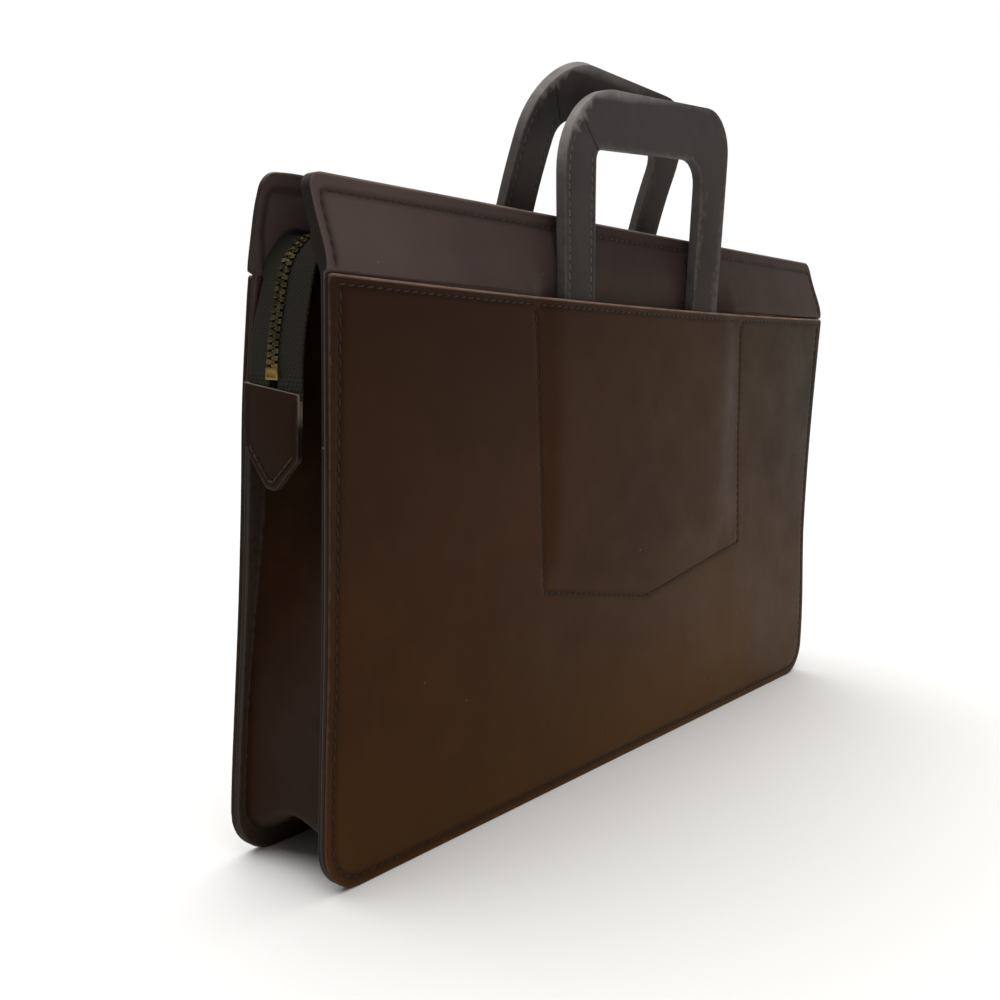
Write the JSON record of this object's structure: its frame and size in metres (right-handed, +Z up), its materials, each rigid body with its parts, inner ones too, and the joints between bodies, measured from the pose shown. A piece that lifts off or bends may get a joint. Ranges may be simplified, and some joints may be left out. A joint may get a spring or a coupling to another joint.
{
  "type": "leather document case",
  "caption": "Zip-topped leather document case with full-width outer pockets, a folded-in gusset and two stiff handles that slide down behind the pockets.",
  "frame": {"origin": "on the floor, under the middle of the case", "axes": "+Z up, +X to the right seen from the front, -Y out of the front pocket"},
  "size_m": [0.4117, 0.0627, 0.3215],
  "materials": {
    "side_leather": "smooth dark brown, waxed, semi-gloss",
    "band_leather": "smooth purplish brown, satin",
    "gusset_leather": "softer dark brown, satin",
    "handle_leather": "dark grey-brown, worn satin with rubbed edges",
    "tape_cloth": "woven, dark olive, matt",
    "zip_brass": "aged brass"
  },
  "bodies": {
    "case": {"front_pocket": "side_leather", "front_panel": "band_leather", "back_pocket": "side_leather", "back_panel": "band_leather", "gusset": "gusset_leather", "zip_tape_front": "tape_cloth", "zip_tape_back": "tape_cloth", "zip_chain": "zip_brass", "zip_bottom_stop": "zip_brass", "zip_slider": "zip_brass", "zip_end_tab_left": "gusset_leather", "zip_end_tab_right": "gusset_leather", "front_handle_stop": "handle_leather", "back_handle_stop": "handle_leather"},
    "front_handle_body": {"front_handle": "handle_leather"},
    "back_handle_body": {"back_handle": "handle_leather"}
  },
  "joints": [
    {"name": "front_handle_slide", "type": "slide", "parent": "case", "child": "front_handle_body", "axis": [0, 0, 1], "range_m": [-0.0612, 0.0171]},
    {"name": "back_handle_slide", "type": "hinge", "parent": "case", "child": "back_handle_body", "pos_m": [0.01797, -0.31754, 0.1743], "axis": [0.9994, 0.0349, 0], "range_deg": [-13.1, 0]}
  ]
}
